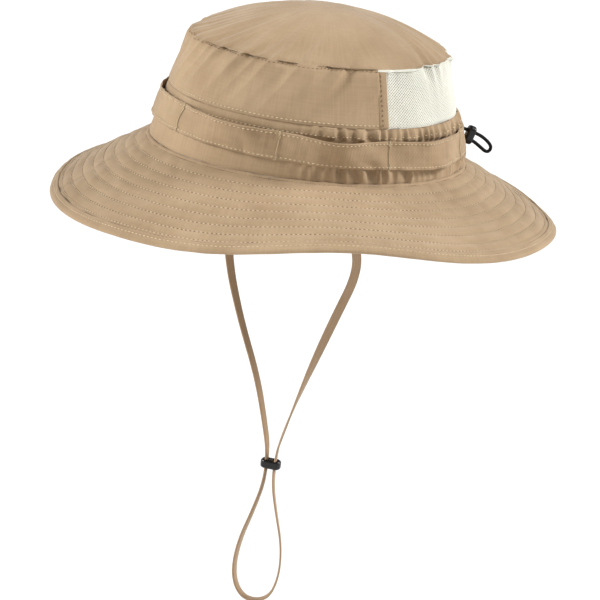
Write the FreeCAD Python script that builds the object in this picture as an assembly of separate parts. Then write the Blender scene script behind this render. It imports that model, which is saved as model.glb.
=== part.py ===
import FreeCAD, Part

import math
import os

# Boonie hat with a mesh rear panel, a tacked outer band, a rear drawcord with
# its toggle, and a chin strap with a sliding bead. Millimetres, +Z up.
# Front is -Y, rear is +Y, the wearer's left is +X. The origin is the centre of
# the head opening, in the plane where the crown meets the brim.

# ---------------------------------------------------------------- head and crown
SEAM_HALF_LENGTH = 103.4      # outside of the crown at the brim seam, along Y
SEAM_HALF_WIDTH = 83.7        # the same along X
STRIP_HEIGHT = 35.3           # base strip, brim seam to side panel seam
STRIP_LEAN_LENGTH = 8.9       # how far the strip's top lies inside its foot, along Y
STRIP_LEAN_WIDTH = 2.3        # the same along X
PANEL_HEIGHT = 35.0           # side panels, strip seam to tip seam
PANEL_LEAN_LENGTH = 11.1      # the panel's top inside its foot, along Y
PANEL_LEAN_WIDTH = 13.1       # the same along X
TIP_RISE = 24.0               # puffed crown tip above its seam
TIP_ROUNDNESS = 2.16          # exponents of the tip's cross-section
TIP_FULLNESS = 1.2
SIDE_SEAM_ANGLE = 110.5       # degrees from the front to the mesh panel's edge
SEAM_TUCK = 0.3               # base strip below the brim seam plane

# ---------------------------------------------------------------- cloth and gaps
SHELL_CLOTH = 0.45
MESH_CLOTH = 0.6
TAPE_CLOTH = 0.4
PLY_GAP = 0.1                 # between layers of one sewn body
SEAM_GAP = 0.1                # between panels that meet at a seam

# ---------------------------------------------------------------- brim
BRIM_WIDTH = 75.2             # along the slope, seam to outer edge
DROOP_MEAN = 26.2             # degrees below level, averaged round the brim
DROOP_FRONT = 4.0             # more at the front, less at the rear
DROOP_SADDLE = 7.4            # more at front and rear, less at the sides
DROOP_SQUARE = -1.8           # four-fold part of the saddle
DROOP_RIPPLE = 1.2            # six-fold part of the saddle
BRIM_PLY = 0.5
INTERLINING = 1.2
BINDING_WIDTH = 7.6
BINDING_CLOTH = 0.6
BINDING_NOSE = 1.1            # binding past the edge of the plies
BINDING_NOSE_BEVEL = 1.4
BRIM_STATIONS = 48            # points round each edge curve

# ---------------------------------------------------------------- sweatband and linings
SWEATBAND_HEIGHT = 32.0
SWEATBAND_CLOTH = 0.8
SEAM_TAPE_WIDTH = 9.0

# ---------------------------------------------------------------- outer band
BAND_MID_HEIGHT = 20.0        # middle of the band at the sides
BAND_HEIGHT = 18.6
BAND_TILT = 2.85              # higher at the front, lower at the rear
BAND_CLOTH = 1.0
BAND_TACK_GAP = 0.4           # band to crown at each tack
BAND_BULGE_ENDS = 1.2         # stand-off between tacks, at front and rear
BAND_BULGE_SIDES = 5.4        # and at the sides
BAND_TACKS = 8
BAND_STATIONS = 96
TACK_WIDTH = 2.2
TACK_THICKNESS = 0.5
TACK_MARGIN = 0.8             # tack ends short of the band's edges

# ---------------------------------------------------------------- drawcord
CORD_DIAMETER = 2.3
CORD_HEIGHT = 17.0            # middle of the exit above the brim seam
CORD_CLEARANCE = 0.7          # radially, on each side of the cord in the channel
CHANNEL_HEIGHT = 15.0
CHANNEL_FLANGE = 1.2
CORD_END_ANGLE = 90.0         # degrees from the front where the elastic is sewn in
CORD_STEPS = 6                # route points on each side
CORD_LAST_ANGLE = 170.0       # the last of them
CORD_CORNER_SWELL = 1.006     # corners stand outside the oval that their arcs follow
EXIT_APPROACH = 6.2           # sideways from the exit to the last point before it
CORD_END_TACK = 3.0
EXIT_SLOT_WIDTH = 5.4
EXIT_SLOT_HEIGHT = 10.6
EXIT_SLOT_RISE = 0.9          # middle of the slot above the middle of the exit
LOOP_STANDOFF = 0.9           # from the band to where the loop starts to droop
LOOP_SLOPE = 16.0             # degrees below level where it leaves
LOOP_STRAND_GAP = 5.2         # between the two strands
LOOP_STRAIGHT = 8.0           # straight stretch that holds the toggle
LOOP_DROOP_RUNS = [(7.0, 30.0), (7.0, 42.0)]   # (length, degrees below level) past it
TOGGLE_CENTRE = 5.1           # from the pivot along the loop
TOGGLE_LENGTH = 12.5
TOGGLE_WIDTH = 7.5
TOGGLE_THICKNESS = 5.5
HOLE_CLEARANCE = 0.35         # round a cord in a toggle hole
BEAD_CORNER_SHARE = 0.45      # corner radius as a share of a bead's width
BEAD_RIM_SHARE = 0.3          # rim radius as a share of its thickness

# ---------------------------------------------------------------- chin strap
STRAP_DIAMETER = 3.4          # folded tape, drawn as a round cord
STRAP_END_WIDTH = 5.6         # flat end that is sewn in the seam
STRAP_END_CLOTH = 1.4
STRAP_END_HEIGHT = 11.0
STRAP_HINGE_Z = -3.0          # the strap bends just below the seam
SLIDER_Y = 3.0                # the twisted strap holds its bead a little to the rear
SLIDER_Z = -223.0
SLIDER_TURN = 65.0            # degrees that the hanging strap is twisted
SLIDER_LENGTH = 14.0
SLIDER_WIDTH = 8.0
SLIDER_THICKNESS = 6.5
SLIDER_HOLE_GAP = 6.0
BEAD_LEAD = 6.0               # straight strap above and below the bead

# ---------------------------------------------------------------- label
LABEL_WIDTH = 26.0
LABEL_HEIGHT = 14.0
LABEL_FOOT = 12.0             # lower edge above the brim seam
LABEL_CLOTH = 0.3
LABEL_ANGLE = 150.0           # degrees from the front

UP = FreeCAD.Vector(0, 0, 1)
PANEL_TOP = STRIP_HEIGHT + PANEL_HEIGHT
STRIP_TOP_HALF_LENGTH = SEAM_HALF_LENGTH - STRIP_LEAN_LENGTH
STRIP_TOP_HALF_WIDTH = SEAM_HALF_WIDTH - STRIP_LEAN_WIDTH
PANEL_TOP_HALF_LENGTH = STRIP_TOP_HALF_LENGTH - PANEL_LEAN_LENGTH
PANEL_TOP_HALF_WIDTH = STRIP_TOP_HALF_WIDTH - PANEL_LEAN_WIDTH


def point(x, y, z):
    return FreeCAD.Vector(x, y, z)


def mix(low, high, share):
    return low + (high - low) * share


# ---------------------------------------------------------------- crown shape
def crown_half_axes(z):
    """Outer half length and half width of the crown at a height."""
    if z <= STRIP_HEIGHT:
        share = z / STRIP_HEIGHT
        return (mix(SEAM_HALF_LENGTH, STRIP_TOP_HALF_LENGTH, share),
                mix(SEAM_HALF_WIDTH, STRIP_TOP_HALF_WIDTH, share))
    share = (z - STRIP_HEIGHT) / PANEL_HEIGHT
    return (mix(STRIP_TOP_HALF_LENGTH, PANEL_TOP_HALF_LENGTH, share),
            mix(STRIP_TOP_HALF_WIDTH, PANEL_TOP_HALF_WIDTH, share))


def oval_point(angle, half_length, half_width, z, outward=0.0):
    """Point of an oval at an angle from the front, moved along its normal."""
    sine = math.sin(angle)
    cosine = math.cos(angle)
    normal_x = sine / half_width
    normal_y = -cosine / half_length
    scale = outward / math.hypot(normal_x, normal_y)
    return point(half_width * sine + normal_x * scale,
                 -half_length * cosine + normal_y * scale, z)


def oval_normal(angle, half_length, half_width):
    normal = point(math.sin(angle) / half_width, -math.cos(angle) / half_length, 0)
    return normal.normalize()


def crown_point(angle, z, outward=0.0):
    half_length, half_width = crown_half_axes(z)
    return oval_point(angle, half_length, half_width, z, outward)


def wall_lean(angle, z):
    """Unit vector up the crown wall at an angle and height."""
    rise = 1.0
    up = crown_point(angle, z + rise) - crown_point(angle, z)
    return up.normalize()


def angle_at_share(share, half_length, half_width, steps=720):
    """Angle from the front at a share of the oval's whole perimeter."""
    lengths = [0.0]
    for index in range(steps):
        before = oval_point(2 * math.pi * index / steps, half_length, half_width, 0)
        after = oval_point(2 * math.pi * (index + 1) / steps, half_length, half_width, 0)
        lengths.append(lengths[-1] + (after - before).Length)
    target = share * lengths[-1]
    for index in range(steps):
        if lengths[index + 1] >= target:
            part = (target - lengths[index]) / (lengths[index + 1] - lengths[index])
            return 2 * math.pi * (index + part) / steps
    return 2 * math.pi


# ---------------------------------------------------------------- solid builders
def closed_curve(points):
    curve = Part.BSplineCurve()
    curve.interpolate(Points=points, PeriodicFlag=True)
    return Part.Wire([curve.toShape()])


def ring_solid(section_wires):
    """Ring whose cross-section corners each run round one closed wire."""
    ring = Part.makeLoft(section_wires, True, True, True)
    if ring.Volume < 0:
        ring.reverse()
    return ring


def oval_wire(half_length, half_width, z):
    ellipse = Part.Ellipse(point(0, half_length, z), point(half_width, 0, z), point(0, 0, z))
    return Part.Wire([ellipse.toShape()])


def wall_ring(z_low, z_high, outer_offset, inner_offset):
    """Ring that follows the crown wall between two offsets from its outside."""
    length_low, width_low = crown_half_axes(z_low)
    length_high, width_high = crown_half_axes(z_high)
    outer = Part.makeLoft([
        oval_wire(length_low - outer_offset, width_low - outer_offset, z_low),
        oval_wire(length_high - outer_offset, width_high - outer_offset, z_high)], True, True)
    inner = Part.makeLoft([
        oval_wire(length_low - inner_offset, width_low - inner_offset, z_low),
        oval_wire(length_high - inner_offset, width_high - inner_offset, z_high)], True, True)
    return outer.cut(inner)


def sector(angle_from, angle_to, z_low, z_high):
    """Wedge from the axis between two angles from the front, under 180 degrees."""
    reach = 4 * SEAM_HALF_LENGTH
    middle = (angle_from + angle_to) / 2
    corners = [point(0, 0, z_low)]
    for angle in (angle_from, (angle_from + middle) / 2, middle, (middle + angle_to) / 2, angle_to):
        corners.append(point(reach * math.sin(angle), -reach * math.cos(angle), z_low))
    corners.append(corners[0])
    return Part.Face(Part.makePolygon(corners)).extrude(UP * (z_high - z_low))


def rear_part(ring, gap=0.0):
    """The part of a ring behind the side seams, less half a seam gap each side."""
    seam = math.radians(SIDE_SEAM_ANGLE)
    trim = gap / 2 / SEAM_HALF_WIDTH
    box = ring.BoundBox
    return ring.common(sector(seam + trim, 2 * math.pi - seam - trim, box.ZMin - 1, box.ZMax + 1))


def front_part(ring, gap=0.0):
    seam = math.radians(SIDE_SEAM_ANGLE)
    trim = gap / 2 / SEAM_HALF_WIDTH
    box = ring.BoundBox
    return ring.cut(sector(seam - trim, 2 * math.pi - seam + trim, box.ZMin - 1, box.ZMax + 1))


def upright_block(centre, outward, up, width, height, thickness):
    """Box centred on a point, its thickness along outward and its height along up."""
    across = up.cross(outward).normalize()
    outward = across.cross(up).normalize()
    corner = centre - across * (width / 2) - up * (height / 2) - outward * (thickness / 2)
    base = Part.makePolygon([corner, corner + across * width,
                             corner + across * width + up * height,
                             corner + up * height, corner])
    return Part.Face(base).extrude(outward * thickness)


def round_path(route):
    """Straight runs joined by tangent arcs, each as large as its runs allow."""
    edges = []
    radii = []
    start = route[0]
    for index in range(1, len(route) - 1):
        corner = route[index]
        back = route[index - 1] - corner
        ahead = route[index + 1] - corner
        shorter = min(back.Length, ahead.Length)
        back.normalize()
        ahead.normalize()
        turn = math.pi - back.getAngle(ahead)
        cut = 0.45 * shorter
        radii.append(cut / math.tan(turn / 2))
        arc_start = corner + back * cut
        arc_end = corner + ahead * cut
        bisector = (back + ahead).normalize()
        to_centre = radii[-1] / math.cos(turn / 2)
        middle = corner + bisector * (to_centre - radii[-1])
        edges.append(Part.LineSegment(start, arc_start).toShape())
        edges.append(Part.Arc(arc_start, middle, arc_end).toShape())
        start = arc_end
    edges.append(Part.LineSegment(start, route[-1]).toShape())
    return Part.Wire(edges), radii


def cord_solid(name, route, diameter):
    path, radii = round_path(route)
    direction = route[1] - route[0]
    profile = Part.Wire([Part.Circle(route[0], direction, diameter / 2).toShape()])
    tube = path.makePipeShell([profile], True, True)
    expected = math.pi * diameter ** 2 / 4 * path.Length
    print(name, "length", round(path.Length, 1), "least radius", round(min(radii), 1),
          "radii", [round(radius, 1) for radius in radii],
          "volume share", round(tube.Volume / expected, 4))
    return tube


# ---------------------------------------------------------------- crown pieces
def tip_profile(half_width, rise, samples=24):
    """Half section of the puffed tip, from its edge to its middle."""
    points = []
    for index in range(samples + 1):
        reach = math.cos(math.pi / 2 * index / samples)
        height = rise * (1 - reach ** TIP_ROUNDNESS) ** TIP_FULLNESS
        points.append(point(half_width * reach, 0, PANEL_TOP + height))
    curve = Part.BSplineCurve()
    curve.interpolate(points)
    return curve.toShape(), points[0], points[-1]


def make_crown_tip():
    outer, outer_edge, outer_top = tip_profile(PANEL_TOP_HALF_WIDTH, TIP_RISE)
    inner, inner_edge, inner_top = tip_profile(PANEL_TOP_HALF_WIDTH - SHELL_CLOTH,
                                               TIP_RISE - SHELL_CLOTH)
    rim = Part.LineSegment(inner_edge, outer_edge).toShape()
    axis = Part.LineSegment(outer_top, inner_top).toShape()
    section = Part.Face(Part.Wire([rim, outer, axis, inner]))
    round_tip = section.revolve(point(0, 0, 0), UP, 360)
    stretch = FreeCAD.Matrix()
    stretch.scale(1, PANEL_TOP_HALF_LENGTH / PANEL_TOP_HALF_WIDTH, 1)
    return round_tip.transformGeometry(stretch)


def make_side_panel_front():
    ring = wall_ring(STRIP_HEIGHT + SEAM_GAP, PANEL_TOP - SEAM_GAP, 0, SHELL_CLOTH)
    return front_part(ring, SEAM_GAP)


def make_side_panel_mesh():
    ring = wall_ring(STRIP_HEIGHT + SEAM_GAP, PANEL_TOP - SEAM_GAP, 0, MESH_CLOTH)
    return rear_part(ring, SEAM_GAP)


def exit_slot():
    """Upright buttonhole at the rear for the two strands of the drawcord."""
    reach = SHELL_CLOTH + BAND_TACK_GAP + BAND_BULGE_ENDS + BAND_CLOTH
    centre = crown_point(math.pi, CORD_HEIGHT + EXIT_SLOT_RISE)
    return upright_block(centre, point(0, 1, 0), UP, EXIT_SLOT_WIDTH, EXIT_SLOT_HEIGHT, 4 * reach)


def make_base_strip_front():
    return front_part(wall_ring(-SEAM_TUCK, STRIP_HEIGHT, 0, SHELL_CLOTH), SEAM_GAP)


def make_base_strip_rear():
    strip = rear_part(wall_ring(-SEAM_TUCK, STRIP_HEIGHT, 0, SHELL_CLOTH), SEAM_GAP)
    return strip.cut(exit_slot())


def make_tip_seam_tape():
    inside = SHELL_CLOTH + MESH_CLOTH / 2 + PLY_GAP
    low = PANEL_TOP - SEAM_TAPE_WIDTH
    return wall_ring(low, PANEL_TOP - SEAM_GAP, inside, inside + TAPE_CLOTH)


def make_side_seam_tape(side):
    inside = MESH_CLOTH + PLY_GAP
    ring = wall_ring(STRIP_HEIGHT + SEAM_GAP, PANEL_TOP - SEAM_TAPE_WIDTH - SEAM_GAP,
                     inside, inside + TAPE_CLOTH)
    seam = math.radians(SIDE_SEAM_ANGLE)
    half = SEAM_TAPE_WIDTH / 2 / SEAM_HALF_WIDTH
    box = ring.BoundBox
    return ring.common(sector(side * seam - half, side * seam + half, box.ZMin - 1, box.ZMax + 1))


# ---------------------------------------------------------------- channel and sweatband
CHANNEL_ROOM = CORD_DIAMETER + 2 * CORD_CLEARANCE
CHANNEL_INSIDE = SHELL_CLOTH + CHANNEL_ROOM
CORD_DEPTH = SHELL_CLOTH + CHANNEL_ROOM / 2
SWEATBAND_DEPTH = CHANNEL_INSIDE + TAPE_CLOTH + PLY_GAP
# The upright strap ends clear the inside of the leaning crown wall at their top.
STRAP_END_TOP = STRAP_HINGE_Z + STRAP_END_HEIGHT
STRAP_TOP_X = crown_half_axes(STRAP_END_TOP)[1] - SHELL_CLOTH - PLY_GAP - STRAP_END_CLOTH / 2


def make_channel():
    """Inner ply of the drawcord channel, its two edges turned out to the strip."""
    low = CORD_HEIGHT - CHANNEL_HEIGHT / 2
    high = CORD_HEIGHT + CHANNEL_HEIGHT / 2
    ply = wall_ring(low, high, CHANNEL_INSIDE, CHANNEL_INSIDE + TAPE_CLOTH)
    foot = wall_ring(low, low + CHANNEL_FLANGE, SHELL_CLOTH + PLY_GAP, CHANNEL_INSIDE)
    head = wall_ring(high - CHANNEL_FLANGE, high, SHELL_CLOTH + PLY_GAP, CHANNEL_INSIDE)
    ring = ply.fuse([foot, head]).removeSplitter()
    start = math.radians(CORD_END_ANGLE) - CORD_END_TACK / SEAM_HALF_WIDTH
    middle = math.pi
    wedge_left = sector(start, middle, low - 1, high + 1)
    wedge_right = sector(middle, 2 * math.pi - start, low - 1, high + 1)
    return ring.common(wedge_left.fuse(wedge_right).removeSplitter())


def sweatband_wire(z, depth):
    half_length, half_width = crown_half_axes(z)
    return oval_wire(half_length - depth, half_width - depth, z)


def make_sweatband():
    """Lining band, close to the seam at its foot and clear of the channel above."""
    foot_depth = SEAM_HALF_WIDTH - (STRAP_TOP_X - STRAP_END_CLOTH / 2 - PLY_GAP)
    knee = CORD_HEIGHT - CHANNEL_HEIGHT / 2 - CHANNEL_FLANGE
    heights = [0.0, knee]
    if SWEATBAND_HEIGHT > STRIP_HEIGHT:
        heights.append(STRIP_HEIGHT)
    heights.append(SWEATBAND_HEIGHT)
    outer_depths = [foot_depth] + [SWEATBAND_DEPTH] * (len(heights) - 1)
    shells = []
    for extra in (0.0, SWEATBAND_CLOTH):
        wires = []
        for height, depth in zip(heights, outer_depths):
            wires.append(sweatband_wire(height, depth + extra))
        shells.append(Part.makeLoft(wires, True, True))
    return shells[0].cut(shells[1])


def make_care_label():
    angle = math.radians(LABEL_ANGLE)
    depth = SWEATBAND_DEPTH + SWEATBAND_CLOTH + PLY_GAP
    ring = wall_ring(LABEL_FOOT, LABEL_FOOT + LABEL_HEIGHT, depth, depth + LABEL_CLOTH)
    half = LABEL_WIDTH / 2 / SEAM_HALF_LENGTH
    box = ring.BoundBox
    return ring.common(sector(angle - half, angle + half, box.ZMin - 1, box.ZMax + 1))


# ---------------------------------------------------------------- brim
def brim_droop(angle):
    degrees = (DROOP_MEAN + DROOP_FRONT * math.cos(angle) + DROOP_SADDLE * math.cos(2 * angle)
               + DROOP_SQUARE * math.cos(4 * angle) + DROOP_RIPPLE * math.cos(6 * angle))
    return math.radians(degrees)


def brim_point(angle, out, above):
    """Point of the brim, out from the seam along its slope and above its top ply."""
    base = oval_point(angle, SEAM_HALF_LENGTH, SEAM_HALF_WIDTH, 0)
    outward = oval_normal(angle, SEAM_HALF_LENGTH, SEAM_HALF_WIDTH)
    droop = brim_droop(angle)
    along = outward * math.cos(droop) - UP * math.sin(droop)
    normal = outward * math.sin(droop) + UP * math.cos(droop)
    return base + along * out + normal * above


def brim_wire(out, above):
    points = []
    for index in range(BRIM_STATIONS):
        points.append(brim_point(2 * math.pi * index / BRIM_STATIONS, out, above))
    return closed_curve(points)


def brim_ring(section):
    return ring_solid([brim_wire(out, above) for out, above in section])


PLY_EDGE = BRIM_WIDTH - BINDING_NOSE
# A ply's inner edge starts clear of the crown wall, which the droop tilts it towards.
PLY_START = 2 * SEAM_GAP
PLY_SET_BACK = 0.3            # lower edge of a ply behind its upper edge
UNDERSIDE_START = PLY_START + BRIM_PLY + INTERLINING


def make_brim_top():
    return brim_ring([(PLY_START, 0), (PLY_EDGE, 0), (PLY_EDGE, -BRIM_PLY),
                      (PLY_START + PLY_SET_BACK, -BRIM_PLY)])


def make_brim_interlining():
    top = -BRIM_PLY - PLY_GAP
    bottom = top - INTERLINING
    return brim_ring([(PLY_START + PLY_SET_BACK + PLY_GAP, top), (PLY_EDGE, top), (PLY_EDGE, bottom),
                      (UNDERSIDE_START, bottom)])


def make_brim_underside():
    top = -BRIM_PLY - INTERLINING - 2 * PLY_GAP
    bottom = top - BRIM_PLY
    return brim_ring([(UNDERSIDE_START, top), (PLY_EDGE, top), (PLY_EDGE, bottom),
                      (UNDERSIDE_START + PLY_SET_BACK, bottom)])


def make_brim_binding():
    """Folded binding round the outer edge, open towards the brim."""
    start = BRIM_WIDTH - BINDING_WIDTH
    under = -2 * BRIM_PLY - INTERLINING - 2 * PLY_GAP
    top_in = PLY_GAP
    top_out = top_in + BINDING_CLOTH
    low_in = under - PLY_GAP
    low_out = low_in - BINDING_CLOTH
    shoulder = BRIM_WIDTH - BINDING_NOSE_BEVEL
    notch = PLY_EDGE + PLY_GAP
    middle = under / 2
    return brim_ring([(start, top_in), (start, top_out), (shoulder, top_out), (BRIM_WIDTH, middle),
                      (shoulder, low_out), (start, low_out), (start, low_in), (notch, low_in),
                      (notch, top_in)])


# ---------------------------------------------------------------- outer band
def band_angles():
    """Stations at even steps of length, so that the tacks fall on stations."""
    half_length, half_width = crown_half_axes(BAND_MID_HEIGHT)
    angles = []
    for index in range(BAND_STATIONS):
        angles.append(angle_at_share(index / BAND_STATIONS, half_length, half_width))
    return angles


def band_standoff(index, angle):
    """Distance of the band's inside from the crown at a station."""
    phase = math.pi * (index / BAND_STATIONS * BAND_TACKS - 0.5)
    sides = math.sin(angle) ** 2
    bulge = mix(BAND_BULGE_ENDS, BAND_BULGE_SIDES, sides)
    return BAND_TACK_GAP + bulge * math.sin(phase) ** 2


def band_height(angle):
    return BAND_MID_HEIGHT + BAND_TILT * math.cos(angle)


def band_wire(angles, rise, outward):
    points = []
    for index, angle in enumerate(angles):
        height = band_height(angle) + rise
        points.append(crown_point(angle, height, band_standoff(index, angle) + outward))
    return closed_curve(points)


def make_outer_band(angles):
    half = BAND_HEIGHT / 2
    ring = ring_solid([band_wire(angles, -half, 0), band_wire(angles, -half, BAND_CLOTH),
                       band_wire(angles, half, BAND_CLOTH), band_wire(angles, half, 0)])
    return ring.cut(exit_slot())


def make_band_tacks(angles):
    """One thread bar across the band at each tack."""
    tacks = []
    for number in range(BAND_TACKS):
        index = int((number + 0.5) * BAND_STATIONS / BAND_TACKS)
        angle = angles[index]
        half_length, half_width = crown_half_axes(band_height(angle))
        outward = oval_normal(angle, half_length, half_width)
        up = wall_lean(angle, band_height(angle))
        offset = BAND_TACK_GAP + BAND_CLOTH + PLY_GAP + TACK_THICKNESS / 2
        centre = crown_point(angle, band_height(angle), offset)
        tacks.append(upright_block(centre, outward, up, TACK_WIDTH,
                                   BAND_HEIGHT - 2 * TACK_MARGIN, TACK_THICKNESS))
    return Part.makeCompound(tacks)


# ---------------------------------------------------------------- drawcord
LOOP_ALONG = point(0, math.cos(math.radians(LOOP_SLOPE)), -math.sin(math.radians(LOOP_SLOPE)))
LOOP_ACROSS = point(0, math.sin(math.radians(LOOP_SLOPE)), math.cos(math.radians(LOOP_SLOPE)))
LOOP_PIVOT = crown_point(math.pi, CORD_HEIGHT,
                         BAND_TACK_GAP + BAND_BULGE_ENDS + BAND_CLOTH + LOOP_STANDOFF)


def channel_route(side):
    """Cord from its sewn end at the side to the middle of the rear, and out."""
    exit_point = LOOP_PIVOT + LOOP_ACROSS * (side * LOOP_STRAND_GAP / 2)
    height = exit_point.z
    half_length, half_width = crown_half_axes(height)
    inside_length = half_length - CORD_DEPTH
    inside_width = half_width - CORD_DEPTH
    start = math.radians(CORD_END_ANGLE)
    last = math.radians(CORD_LAST_ANGLE)
    route = []
    for index in range(CORD_STEPS):
        angle = mix(start, last, index / (CORD_STEPS - 1))
        swell = CORD_CORNER_SWELL if 0 < index < CORD_STEPS - 1 else 1.0
        route.append(oval_point(side * angle, inside_length * swell, inside_width * swell, height))
    # The cord climbs to where the sloping exit run starts, inside the leaning wall.
    slope = math.tan(math.radians(LOOP_SLOPE))
    corner_z = height + slope * (exit_point.y - inside_length)
    corner_y = crown_half_axes(corner_z)[0] - CORD_DEPTH
    corner_z = height + slope * (exit_point.y - corner_y)
    route.append(point(side * EXIT_APPROACH, corner_y + PLY_GAP, mix(height, corner_z, 0.5)))
    route.append(point(0, corner_y, corner_z))
    route.append(exit_point)
    return route


def loop_route():
    """Both strands of the loop, out from the upper one and back by the lower."""
    middles = [LOOP_PIVOT, LOOP_PIVOT + LOOP_ALONG * LOOP_STRAIGHT]
    slopes = [LOOP_SLOPE]
    for length, slope in LOOP_DROOP_RUNS:
        down = math.radians(slope)
        middles.append(middles[-1] + point(0, math.cos(down), -math.sin(down)) * length)
        slopes.append(slope)
    upper = []
    lower = []
    for index, middle in enumerate(middles):
        before = slopes[max(index - 1, 0)]
        after = slopes[min(index, len(slopes) - 1)]
        slope = math.radians((before + after) / 2)
        across = point(0, math.sin(slope), math.cos(slope)) * (LOOP_STRAND_GAP / 2)
        upper.append(middle + across)
        lower.append(middle - across)
    return upper + lower[::-1]


def make_loop_cord():
    return cord_solid("drawcord_loop", loop_route(), CORD_DIAMETER)


def bead(centre, long_axis, hole_axis, length, width, thickness, hole_gap, hole_diameter):
    """Rounded two-hole bead."""
    side_axis = hole_axis.cross(long_axis).normalize()
    corner = centre - long_axis * (length / 2) - side_axis * (width / 2) - hole_axis * (thickness / 2)
    outline = Part.makePolygon([corner, corner + long_axis * length,
                                corner + long_axis * length + side_axis * width,
                                corner + side_axis * width, corner])
    block = Part.Face(outline).extrude(hole_axis * thickness)
    corners = [edge for edge in block.Edges
               if abs(abs(edge.tangentAt(edge.FirstParameter).dot(hole_axis)) - 1) < 1e-6]
    block = block.makeFillet(width * BEAD_CORNER_SHARE, corners)
    rims = [edge for edge in block.Edges
            if abs(edge.tangentAt(edge.FirstParameter).dot(hole_axis)) < 1e-6]
    block = block.makeFillet(thickness * BEAD_RIM_SHARE, rims)
    for sign in (-1, 1):
        hole_start = centre + long_axis * (sign * hole_gap / 2) - hole_axis * thickness
        block = block.cut(Part.makeCylinder(hole_diameter / 2, 2 * thickness, hole_start, hole_axis))
    return block


def make_drawcord_toggle():
    centre = LOOP_PIVOT + LOOP_ALONG * TOGGLE_CENTRE
    return bead(centre, LOOP_ACROSS, LOOP_ALONG, TOGGLE_LENGTH, TOGGLE_WIDTH, TOGGLE_THICKNESS,
                LOOP_STRAND_GAP, CORD_DIAMETER + 2 * HOLE_CLEARANCE)


def make_cord_end_tacks():
    """Stitched blocks that hold the elastic's ends in the channel."""
    tacks = []
    for side in (-1, 1):
        start = channel_route(side)[0]
        outward = point(side, 0, 0)
        centre = start - point(0, CORD_END_TACK / 2 + PLY_GAP, 0)
        tacks.append(upright_block(centre, outward, UP, CORD_END_TACK, CORD_DIAMETER,
                                   CHANNEL_ROOM - 6 * PLY_GAP))
    return Part.makeCompound(tacks)


# ---------------------------------------------------------------- chin strap
SLIDER_ALONG = point(math.cos(math.radians(SLIDER_TURN)), math.sin(math.radians(SLIDER_TURN)), 0)

# Legs of the strap from the seam to the bead. The strap hangs twisted, so the
# left leg bows to the rear and the right leg to the front.
LEFT_LEG_ROUTE = [
    (STRAP_TOP_X, 0.0, STRAP_HINGE_Z),
    (STRAP_TOP_X, 0.0, -13.0),
    (79.5, 10.5, -26.0),
    (73.0, 24.0, -42.0),
    (63.5, 29.0, -65.0),
    (52.0, 22.0, -97.0),
    (38.0, 14.0, -137.0),
    (23.0, 8.0, -175.0),
    (10.5, 6.0, -199.0),
]
RIGHT_LEG_ROUTE = [
    (-STRAP_TOP_X, 0.0, STRAP_HINGE_Z),
    (-STRAP_TOP_X, 0.0, -13.0),
    (-80.0, -11.0, -26.0),
    (-74.0, -25.5, -43.0),
    (-65.0, -33.5, -66.0),
    (-53.0, -32.5, -97.0),
    (-39.0, -22.5, -133.0),
    (-24.0, -8.5, -170.0),
    (-11.0, -2.0, -199.0),
]

# Loop below the bead: (sideways along the bead, height).
STRAP_LOOP_ROUTE = [
    (7.6, -256.0),
    (14.8, -281.0),
    (15.6, -304.0),
    (10.0, -321.5),
    (-6.5, -325.5),
    (-16.5, -311.0),
    (-15.8, -286.0),
    (-7.5, -257.0),
]


def bead_point(across, z):
    """Point of the plane in which the loop hangs, sideways from the bead's middle."""
    return point(SLIDER_ALONG.x * across, SLIDER_Y + SLIDER_ALONG.y * across, z)


def strap_leg(side, free_route):
    """Route of one leg, ending straight through its hole in the bead."""
    route = [point(x, y, z) for x, y, z in free_route]
    strand = side * SLIDER_HOLE_GAP / 2
    route.append(bead_point(strand, SLIDER_Z + SLIDER_THICKNESS / 2 + BEAD_LEAD))
    route.append(bead_point(strand, SLIDER_Z - SLIDER_THICKNESS / 2))
    return route


def strap_loop():
    strand = SLIDER_HOLE_GAP / 2
    bead_bottom = SLIDER_Z - SLIDER_THICKNESS / 2
    lead_end = bead_bottom - 1.75 * BEAD_LEAD
    flat = [(strand, bead_bottom), (strand, lead_end)]
    flat.extend(STRAP_LOOP_ROUTE)
    flat.extend([(-strand, lead_end), (-strand, bead_bottom)])
    return [bead_point(across, z) for across, z in flat]


def make_chin_slider():
    return bead(bead_point(0, SLIDER_Z), SLIDER_ALONG, UP, SLIDER_LENGTH, SLIDER_WIDTH,
                SLIDER_THICKNESS, SLIDER_HOLE_GAP, STRAP_DIAMETER + 2 * HOLE_CLEARANCE)


def make_strap_end(side):
    """Flat end of the strap, sewn between the crown and the sweatband."""
    centre = point(side * STRAP_TOP_X, 0, STRAP_HINGE_Z + STRAP_END_HEIGHT / 2)
    return upright_block(centre, point(side, 0, 0), UP, STRAP_END_WIDTH, STRAP_END_HEIGHT,
                         STRAP_END_CLOTH)


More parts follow.
